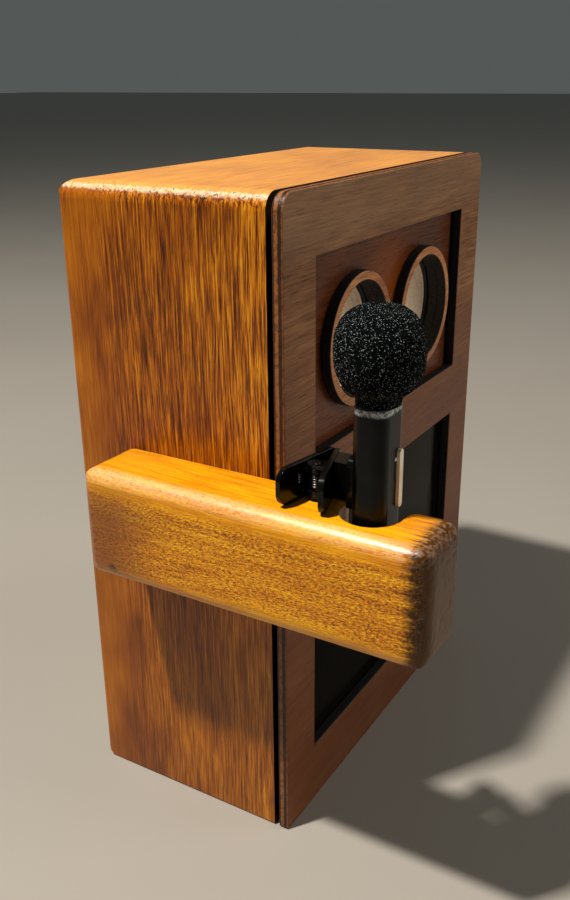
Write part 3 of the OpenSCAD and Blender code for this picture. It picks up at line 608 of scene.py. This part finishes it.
def corner_arcs(low, high, radius, foot, steps=10):
    """Rectangle in X and Z with true round corners: one radius above, another below."""
    out = []
    corners = ((high.x, high.z, 0), (low.x, high.z, 90), (low.x, low.z, 180), (high.x, low.z, 270))
    for x, z, start in corners:
        r = radius if z == high.z else foot
        cx = x - math.copysign(r, x - (low.x + high.x) / 2)
        cz = z - math.copysign(r, z - (low.z + high.z) / 2)
        for k in range(steps + 1):
            a = math.radians(start + 90 * k / steps)
            out.append((cx + r * math.cos(a), cz + r * math.sin(a)))
    return out


def plate(outlines, y0, y1, bevel):
    """A sheet between two Y values: the first outline is its edge, the rest are holes."""
    curve = bpy.data.curves.new("plate", "CURVE")
    curve.dimensions = "2D"
    curve.fill_mode = "BOTH"
    for points in outlines:
        spline = curve.splines.new("POLY")
        spline.points.add(len(points) - 1)
        for point, (x, z) in zip(spline.points, points):
            point.co = (x, z, 0, 1)
        spline.use_cyclic_u = True
    curve.extrude = (y1 - y0) / 2 - bevel
    curve.bevel_depth = bevel
    curve.bevel_resolution = 2
    curve.offset = -bevel
    holder = bpy.data.objects.new("plate", curve)
    bpy.context.scene.collection.objects.link(holder)
    mesh = evaluated_mesh(holder)
    mesh.transform(Matrix.Translation((0, (y0 + y1) / 2, 0)) @ Matrix.Rotation(math.pi / 2, 4, "X"))
    return mesh


def evaluated_mesh(holder):
    """The mesh an object ends up as; the object itself is removed."""
    graph = bpy.context.evaluated_depsgraph_get()
    mesh = bpy.data.meshes.new_from_object(holder.evaluated_get(graph))
    bpy.data.objects.remove(holder)
    return mesh


def welded_copy(node):
    """A CAD node's mesh as a clean bmesh, its flat faces in one piece each."""
    bm = bmesh.new()
    bm.from_mesh(nodes[node].data)
    bmesh.ops.remove_doubles(bm, verts=bm.verts, dist=0.002 * MM)
    bmesh.ops.dissolve_limit(bm, angle_limit=math.radians(0.4), verts=bm.verts, edges=bm.edges)
    return bm


def softened(node, name, material, body, width):
    """A CAD node's own shape with its edges over 40 degrees eased, as moulded parts have them."""
    bm = welded_copy(node)
    sharp = [e for e in bm.edges if len(e.link_faces) == 2
             and e.calc_face_angle(0) > math.radians(40)]
    bmesh.ops.bevel(bm, geom=sharp, offset=width, segments=3, profile=0.5,
                    affect="EDGES", clamp_overlap=True)
    return finished(bm, name, [material], body, [node])


def tube(bm, path, radius, sides=10):
    """A round wire along a path, its two ends closed flat."""
    rings = []
    skew = Vector((0.37, 0.61, 0.7))    # a direction that no part of the wire runs along
    for i, spot in enumerate(path):
        ahead = (path[min(i + 1, len(path) - 1)] - path[max(i - 1, 0)]).normalized()
        side = ahead.cross(skew).normalized()
        up = ahead.cross(side)
        rings.append([bm.verts.new(spot + radius * (math.cos(a) * side + math.sin(a) * up))
                      for a in (2 * math.pi * k / sides for k in range(sides))])
    for a, b in zip(rings, rings[1:]):
        for k in range(sides):
            bm.faces.new((a[k], a[(k + 1) % sides], b[(k + 1) % sides], b[k]))
    bm.faces.new(rings[0])
    bm.faces.new(reversed(rings[-1]))
    return bm


# ---------------------------------------------------------------- finishes

amber = cabinet_wood()
golden = arm_wood()
walnut = front_ply("front_ply", WALNUT)
baffle_ply = front_ply("baffle_ply", MAHOGANY, gloss=0.14, patch=(0, -44 * MM, 192 * MM),
                       shade_from=60.5 * MM)
ring_ply = front_ply("ring_ply", CHESTNUT)
soot = charred()
birch = raw_ply("birch_ply", "Y")
batten_ply = raw_ply("batten_ply", "X")
acrylic = smoked_acrylic()
paper = speaker_paper()
foam = foam_skin()
shell = plastic("mic_shell", srgb(4, 4, 4), 0.24, depth=0.012, shine=0.16,
                rim=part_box("mic_body")[1].z)
gloss_black = plastic("gloss_black", srgb(3, 3, 3), 0.16, depth=0.006, shine=0.22)
moulded_black = plastic("moulded_black", srgb(16, 17, 18), 0.42, depth=0.05)
cream = plastic("cream_plastic", srgb(222, 208, 182), 0.3, depth=0.01)
red_plastic = plastic("red_plastic", srgb(150, 16, 12), 0.3)
blue_plastic = plastic("blue_plastic", srgb(30, 82, 150), 0.4)
cell_sleeve = plastic("cell_sleeve", srgb(40, 70, 140), 0.35, marks=0.2)
red_lead = plastic("red_lead", srgb(160, 22, 18), 0.4)
black_lead = plastic("black_lead", srgb(14, 14, 15), 0.4)
rubber = plastic("surround_rubber", srgb(12, 12, 13), 0.6, depth=0.06)
black_steel = metal("black_steel", srgb(52, 53, 56), 0.36)
zinc = metal("zinc_steel", srgb(196, 196, 200), 0.32)
spring_steel = metal("spring_steel", srgb(66, 66, 70), 0.22)
capsule = mesh_metal()
board = circuit_board()
lens = clear_lens()

CARRIED = {
    amber: ("side_panel_left", "side_panel_right", "top_panel", "bottom_panel"),
    batten_ply: ("front_batten_left", "front_batten_right", "rear_batten_left",
                 "rear_batten_right"),
    birch: ("back_panel",),
    acrylic: ("dark_window",),
    black_steel: ("speaker_basket_left", "speaker_basket_right", "speaker_magnet_left",
                  "speaker_magnet_right"),
    zinc: ("speaker_screws", "holder_screws", "board_standoffs", "board_screws", "arm_screws",
           "socket_nut", "mic_battery"),
    moulded_black: ("battery_holder", "receiver_module"),
    cell_sleeve: ("battery_cells",),
    board: ("amplifier_board", "mic_board"),
    blue_plastic: ("terminal_block",),
    red_lead: ("speaker_lead_left", "speaker_lead_right"),
    black_lead: ("battery_lead", "power_lead"),
    capsule: ("mic_capsule",),
}
for material, names in CARRIED.items():
    for name in names:
        for holder in nodes[name].material_slots:
            holder.material = material


# ---------------------------------------------------------------- front

def blacken(piece, is_wall):
    """Gives the charred second material to the faces that a test picks by middle and normal."""
    for face in piece.data.polygons:
        if is_wall(face.center, face.normal):
            face.material_index = 1


def make_front_frame():
    """Front sheet with its two windows, whose cut walls are charred."""
    low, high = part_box("front_frame")
    left, right = low.x + frame_stile, high.x - frame_stile
    outlines = [corner_arcs(low, high, frame_corner, frame_foot)]
    for z0, z1 in (upper_window, lower_window):
        outlines.append([(left, z0), (left, z1), (right, z1), (right, z0)])
    mesh = plate(outlines, low.y, high.y, 0.45 * MM)
    piece = finished(mesh, "front_frame_ply", [walnut, soot], "cabinet", ["front_frame"])

    def cut_wall(centre, normal):
        across = abs(centre.x) < right + 0.1 * MM
        upright = low.z + 20 * MM < centre.z < high.z - 20 * MM
        return across and upright and abs(normal.y) < 0.8

    blacken(piece, cut_wall)


make_front_frame()


def make_baffle():
    """Inner sheet behind the upper window, with a round hole for each port."""
    low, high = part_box("speaker_baffle")
    outlines = [[(low.x, low.z), (high.x, low.z), (high.x, high.z), (low.x, high.z)]]
    for side in ("left", "right"):
        ring_low, ring_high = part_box("port_ring_" + side)
        centre = middle("port_ring_" + side)
        radius = (ring_high.x - ring_low.x) / 2 - ring_wall
        outlines.append([(centre.x + radius * math.cos(a), centre.z + radius * math.sin(a))
                         for a in (2 * math.pi * k / 96 for k in range(96))])
    mesh = plate(outlines, low.y, high.y, 0.15 * MM)
    piece = finished(mesh, "speaker_baffle_ply", [baffle_ply, soot], "cabinet",
                     ["speaker_baffle"])
    blacken(piece, lambda at, normal: abs(normal.y) < 0.95)


make_baffle()


def make_ring(side):
    """Plywood ring round a port, its face stained and its cut walls charred."""
    low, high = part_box("port_ring_" + side)
    outer = (high.x - low.x) / 2
    inner = outer - ring_wall
    depth = high.y - low.y
    section = rounded([(inner, 0), (outer, 0), (outer, depth), (inner, depth)], 0.5 * MM)
    bm = turned(bmesh.new(), section, front_middle("port_ring_" + side), steps=128)
    piece = finished(bm, "port_ring_ply_" + side, [ring_ply, soot], "cabinet",
                     ["port_ring_" + side])
    blacken(piece, lambda at, normal: abs(normal.y) < 0.95)


def make_cone(side):
    """Ribbed paper cone with a domed dust cap, and the coil's former behind it."""
    low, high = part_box("speaker_cone_" + side)
    at = front_middle("speaker_cone_" + side)
    rim = (high.x - low.x) / 2
    coil = 7 * MM
    depth = 8 * MM
    dome = 3.2 * MM
    ribs = 7
    steps = ribs * 6
    front = []
    for t in (k / steps for k in range(steps + 1)):
        rib = 0.16 * MM * math.sin(2 * math.pi * ribs * t)
        front.append((rim - (rim - coil) * t, depth * (t ** 0.9) + rib))
    cap = [(coil * math.cos(a), depth - dome * math.sin(a))
           for a in (math.pi / 2 * k / 8 for k in range(1, 9))]
    cap[-1] = (0.0, cap[-1][1])
    skin = 0.7 * MM
    back = [(radius, distance + skin) for radius, distance in reversed(front + cap)]
    back[0] = (0.0, back[0][1])
    bm = turned(bmesh.new(), front + cap + back, at)
    wall = 0.5 * MM
    tail = high.y - low.y
    former = [(coil, depth), (coil, tail), (coil - wall, tail), (coil - wall, depth)]
    turned(bm, former, at)
    finished(bm, "speaker_cone_paper_" + side, [paper], "cone_" + side,
             ["speaker_cone_" + side])


def make_surround(side):
    """Half-round rubber roll that holds a cone's rim."""
    low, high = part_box("speaker_surround_" + side)
    half = 1.05 * MM            # half of the roll's width, and its height
    crest = (high.x - low.x) / 2 - half
    rim_wall, crown_wall = 0.25 * MM, 0.4 * MM
    roll = [(crest + half * math.cos(a), half - half * math.sin(a))
            for a in (math.pi * k / 14 for k in range(15))]
    inside = [(radius + (rim_wall if radius < crest else -rim_wall), distance + crown_wall)
              for radius, distance in reversed(roll)]
    bm = turned(bmesh.new(), roll + inside, front_middle("speaker_surround_" + side))
    finished(bm, "speaker_surround_roll_" + side, [rubber], "cabinet",
             ["speaker_surround_" + side])


for port in ("left", "right"):
    make_ring(port)
    make_cone(port)
    make_surround(port)


# ---------------------------------------------------------------- arm

def make_arm():
    """Hand-sanded arm: the CAD form voxel-remeshed, its edges softened and its faces uneven."""
    low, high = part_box("arm")
    wave_height = 0.16 * MM
    dent_height = 0.06 * MM
    chip_depth = 0.35 * MM
    glued = 0.6 * MM            # the side against the cabinet stays flat to this depth
    smoothings = 7
    source = nodes["arm"].data.copy()
    holder = bpy.data.objects.new("arm_source", source)
    bpy.context.scene.collection.objects.link(holder)
    weld = holder.modifiers.new("weld", "WELD")
    weld.merge_threshold = 0.002 * MM
    voxels = holder.modifiers.new("voxels", "REMESH")
    voxels.mode = "VOXEL"
    voxels.voxel_size = 0.65 * MM
    mesh = evaluated_mesh(holder)
    bm = bmesh.new()
    bm.from_mesh(mesh)
    for _ in range(smoothings):
        bmesh.ops.smooth_vert(bm, verts=bm.verts, factor=0.5, use_axis_x=True, use_axis_y=True,
                              use_axis_z=True)
    bm.normal_update()
    for vert in bm.verts:
        p = vert.co
        waves = noise.noise(Vector((p.x * 60, p.y * 22, p.z * 60)))
        dents = noise.noise(Vector((p.x * 260, p.y * 150, p.z * 260)))
        push = wave_height * waves + dent_height * dents
        # The front end is chipped, less and less over its first 10 mm.
        corner = max(0.0, min(1.0, (low.y + 10 * MM - p.y) / (8 * MM)))
        chips = max(0.0, noise.noise(p * 420) - 0.12)
        push -= corner * chips * chip_depth
        if p.x > high.x - glued:
            push = 0
        vert.co = p + vert.normal * push
    for vert in bm.verts:
        for i in range(3):
            vert.co[i] = max(low[i], min(high[i], vert.co[i]))
    finished(bm, "arm_sanded", [golden], "cabinet", ["arm"], sharp=60)


make_arm()


# ---------------------------------------------------------------- microphone and clip

softened("mic_body", "mic_shell", shell, "microphone", 0.8 * MM)
softened("mic_base_cap", "mic_base", moulded_black, "microphone", 0.2 * MM)
softened("record_key", "record_key_cap", cream, "record_key", 0.4 * MM)
softened("status_light", "status_lens", lens, "microphone", 0.25 * MM)
softened("clip_base", "clip_jaw", gloss_black, "microphone", 0.32 * MM)
softened("clip_lever", "clip_tab", gloss_black, "clip_lever", 0.32 * MM)


def make_windscreen():
    """Full-shouldered foam ball on a short collar, in small ragged cells, bored for the capsule."""
    low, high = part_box("foam_windscreen")
    margin = 0.25 * MM          # room left inside the CAD form for the cells' ragged tips
    radius = (high.x - low.x) / 2 - margin
    half = radius + 0.5 * MM
    at = middle("foam_windscreen")
    centre = Vector((at.x, at.y, high.z - half - margin))
    drop = centre.z - low.z
    collar = 6.9 * MM
    bore, bore_depth = 5.3 * MM, 11.2 * MM
    fullness = 2.5              # 2 is a plain ball, and more fills out its shoulders
    crease_width, crease_height = 0.8 * MM, 0.3 * MM
    pits, tears, lumps = 0.34 * MM, 0.12 * MM, 0.22 * MM
    bm = bmesh.new()
    bmesh.ops.create_icosphere(bm, subdivisions=7, radius=1.0)
    for vert in bm.verts:
        way = vert.co.normalized()
        spread = math.hypot(way.x, way.y)
        ball = ((spread / radius) ** fullness + (abs(way.z) / half) ** fullness) ** (-1 / fullness)
        reach = ball
        if way.z < 0:
            to_base = drop / -way.z
            neck = min(collar / max(spread, 1e-6), to_base)
            reach = max(ball, neck)
            if neck < to_base:
                reach += math.exp(-abs(neck - ball) / crease_width) * crease_height
        vert.co = way * reach
    bm.normal_update()
    for vert in bm.verts:
        p = vert.co
        cell = min(1.0, noise.voronoi(p * 980)[0][0] * 1.5)
        ragged = noise.noise(p * 2100)
        wide = noise.noise(p * 90)
        push = pits * (0.5 - cell) + tears * ragged + lumps * wide
        flat = p.z < -drop + 0.5 * MM
        vert.co = p + vert.normal * (0 if flat else push)
    # The base is opened round the capsule, and the opening drawn up into a blind bore.
    under = [f for f in bm.faces if f.calc_center_median().z < -drop + 0.3 * MM
             and f.calc_center_median().xy.length < bore]
    bmesh.ops.delete(bm, geom=under, context="FACES")
    rim = [e for e in bm.edges if e.is_boundary]
    for vert in {v for e in rim for v in e.verts}:
        out = Vector((vert.co.x, vert.co.y, 0)).normalized() * bore
        vert.co = Vector((out.x, out.y, -drop))
    for height in (0.4 * MM, 4 * MM, bore_depth):
        made = bmesh.ops.extrude_edge_only(bm, edges=rim)["geom"]
        for vert in (g for g in made if isinstance(g, bmesh.types.BMVert)):
            vert.co.z = -drop + height
        rim = [g for g in made if isinstance(g, bmesh.types.BMEdge) and g.is_boundary]
    bmesh.ops.holes_fill(bm, edges=rim)
    bmesh.ops.translate(bm, verts=bm.verts, vec=centre)
    piece = finished(bm, "foam_ball", [foam], "windscreen", ["foam_windscreen"], sharp=180)


make_windscreen()


def make_spring():
    """Coil spring round the clip's pin."""
    low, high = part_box("clip_spring")
    centre = middle("clip_spring")
    wire = 0.40 * MM            # half of the wire's thickness
    radius = (high.x - low.x) / 2 - wire
    rise = high.z - low.z - 2 * wire
    turns = 6
    start = math.radians(200)
    steps = turns * 24
    path = []
    for t in (k / steps for k in range(steps + 1)):
        a = start + 2 * math.pi * turns * t
        path.append(Vector((centre.x + radius * math.cos(a), centre.y + radius * math.sin(a),
                            low.z + wire + rise * t)))
    bm = tube(bmesh.new(), path, wire)
    finished(bm, "clip_spring_wire", [spring_steel], "microphone", ["clip_spring"])


make_spring()


def make_pin():
    """Riveted pin with a dished head at each end."""
    low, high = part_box("clip_pin")
    r = (high.x - low.x) / 2
    half = (high.z - low.z) / 2
    section = [(0.0, -half + 0.25 * MM), (r * 0.5, -half), (r * 0.85, -half + 0.05 * MM),
               (r, -half + 0.3 * MM), (r, half - 0.3 * MM), (r * 0.85, half - 0.05 * MM),
               (r * 0.5, half), (0.0, half - 0.25 * MM)]
    bm = turned(bmesh.new(), section, middle("clip_pin"), axis="Z", steps=40, closed=False)
    finished(bm, "clip_rivet", [black_steel], "microphone", ["clip_pin"])


make_pin()


# ---------------------------------------------------------------- rear

def make_back_screws():
    """Six pan-head screws with a cross recess each."""
    low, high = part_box("back_screws")
    head_r = 2.8 * MM
    head_h = 1.6 * MM
    shank_r = 1.4 * MM
    point = 1.5 * MM            # length of the screw's tapered tip
    cross_long, cross_wide = 3.0 * MM, 0.6 * MM
    seat_y = high.y - head_h
    side = high.x - head_r
    heights = [low.z + head_r, (low.z + high.z) / 2, high.z - head_r]
    dome = [(0.0, head_h)] + [(head_r * math.sin(a), head_h * (0.35 + 0.65 * math.cos(a)))
                              for a in (math.pi / 2 * k / 8 for k in range(1, 9))]
    profile = dome + [(head_r, 0), (shank_r, 0), (shank_r, low.y - seat_y + point),
                      (0.0, low.y - seat_y)]
    bm = bmesh.new()
    cut = bmesh.new()
    for x in (-side, side):
        for z in heights:
            spot = Vector((x, seat_y, z))
            turned(bm, profile, spot, steps=40, closed=False)
            # Each screw stops at its own angle.
            turn = Matrix.Rotation(math.radians(20 + 900 * (x + z)), 4, "Y")
            for wide, tall in ((cross_long, cross_wide), (cross_wide, cross_long)):
                size = Matrix.Diagonal((wide, 2 * MM, tall, 1))
                place = Matrix.Translation(spot + Vector((0, head_h + 0.25 * MM, 0)))
                bmesh.ops.create_cube(cut, size=1, matrix=place @ turn @ size)
    bmesh.ops.recalc_face_normals(bm, faces=bm.faces)
    solid = bpy.data.meshes.new("screws")
    bm.to_mesh(solid)
    bm.free()
    cutter_mesh = bpy.data.meshes.new("recess")
    cut.to_mesh(cutter_mesh)
    cut.free()
    cutter = bpy.data.objects.new("recess", cutter_mesh)
    holder = bpy.data.objects.new("screws", solid)
    for thing in (cutter, holder):
        bpy.context.scene.collection.objects.link(thing)
    carve = holder.modifiers.new("carve", "BOOLEAN")
    carve.operation = "DIFFERENCE"
    carve.solver = "EXACT"
    carve.use_self = True
    carve.object = cutter
    mesh = evaluated_mesh(holder)
    bpy.data.objects.remove(cutter)
    finished(mesh, "back_screw_heads", [zinc], "cabinet", ["back_screws"])


make_back_screws()
softened("power_rocker", "rocker_cap", red_plastic, "rocker", 0.3 * MM)
softened("rocker_housing", "rocker_bezel", moulded_black, "cabinet", 0.35 * MM)
softened("charge_socket", "charge_socket_shell", moulded_black, "cabinet", 0.3 * MM)


# ---------------------------------------------------------------- stage, light, camera

def make_floor():
    """Plain pale floor, wide enough to fill the view from every side."""
    s = Shade("floor_paint")
    haze = s.noise(s.place, 6, 3, 0.5)
    colour = s.mix(haze, srgb(146, 139, 129), srgb(154, 147, 137))
    material = s.finish(Base_Color=colour, Roughness=0.55)
    bm = bmesh.new()
    bmesh.ops.create_grid(bm, x_segments=1, y_segments=1, size=12.0)
    mesh = bpy.data.meshes.new("floor")
    bm.to_mesh(mesh)
    bm.free()
    mesh.materials.append(material)
    floor = bpy.data.objects.new("floor", mesh)
    bpy.context.scene.collection.objects.link(floor)


make_floor()


def area_light(name, travel, distance, size, power, colour):
    """A square light that shines along a direction, from a distance, at the object's middle."""
    target = Vector((0, 0, 130 * MM))
    data = bpy.data.lights.new(name, "AREA")
    data.size = size
    data.energy = power
    data.color = colour
    light = bpy.data.objects.new(name, data)
    way = Vector(travel).normalized()
    light.location = target - way * distance
    light.rotation_mode = "QUATERNION"
    light.rotation_quaternion = way.to_track_quat("-Z", "Y")
    bpy.context.scene.collection.objects.link(light)


area_light("key", (0.37, -0.20, -0.90), distance=1.6, size=0.08, power=44.0,
           colour=(1.0, 0.96, 0.90))
area_light("fill_front", (-0.40, 0.82, -0.40), distance=1.8, size=0.9, power=12.0,
           colour=(1.0, 0.95, 0.88))


def make_world():
    """Dim, even, slightly cool light from all round."""
    world = bpy.data.worlds.new("studio")
    world.use_nodes = True
    background = world.node_tree.nodes["Background"]
    background.inputs["Color"].default_value = srgb(196, 206, 204)
    background.inputs["Strength"].default_value = 0.16
    bpy.context.scene.world = world
    bpy.context.scene.view_settings.view_transform = "Standard"


make_world()


def make_camera():
    """Camera at the photograph's angle: direction from azimuth and elevation, with a small roll."""
    place = Vector((-0.3337, -0.19775, 0.27312))
    azimuth, elevation, roll = (math.radians(v) for v in (-58.98, 21.57, -0.53))
    ahead = Vector((-math.sin(azimuth) * math.cos(elevation),
                    math.cos(azimuth) * math.cos(elevation), -math.sin(elevation)))
    right = ahead.cross(Vector((0, 0, 1))).normalized()
    up = right.cross(ahead)
    right, up = (math.cos(roll) * right + math.sin(roll) * up,
                 math.cos(roll) * up - math.sin(roll) * right)
    data = bpy.data.cameras.new("camera")
    data.sensor_width = 36
    data.lens = 38.24
    data.clip_start = 0.01
    camera = bpy.data.objects.new("camera", data)
    turn = Matrix((right, up, -ahead)).transposed().to_4x4()
    camera.matrix_world = Matrix.Translation(place) @ turn
    bpy.context.scene.collection.objects.link(camera)
    bpy.context.scene.camera = camera


make_camera()
